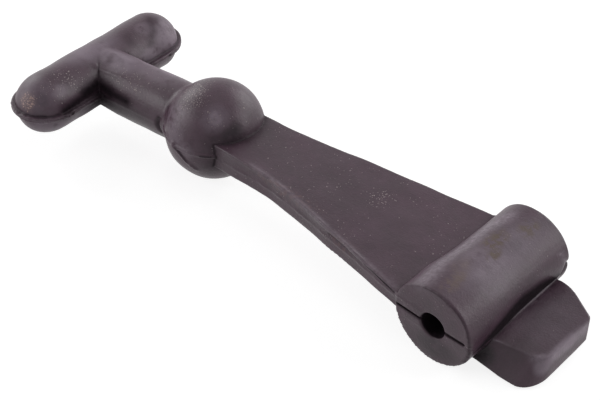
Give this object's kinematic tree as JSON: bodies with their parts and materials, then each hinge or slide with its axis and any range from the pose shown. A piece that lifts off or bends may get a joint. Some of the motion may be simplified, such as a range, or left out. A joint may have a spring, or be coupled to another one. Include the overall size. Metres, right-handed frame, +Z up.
{
  "type": "rubber t draw latch",
  "caption": "One-piece moulded rubber draw latch: T handle, round neck, ball, tapering flat strap, pivot barrel with a through bore, and a stop tab.",
  "frame": {"origin": "middle of the pivot bore's axis, on the mould's parting plane", "axes": "+X along the strap from the pivot barrel to the T handle, +Y along the pivot bore, +Z up, square to the strap's flat face, with the stop tab on the -X side below the parting plane"},
  "size_m": [0.1524, 0.054, 0.0242],
  "materials": {
    "rubber": "satin moulded rubber"
  },
  "bodies": {
    "root": {"latch_body": "rubber"}
  },
  "joints": []
}
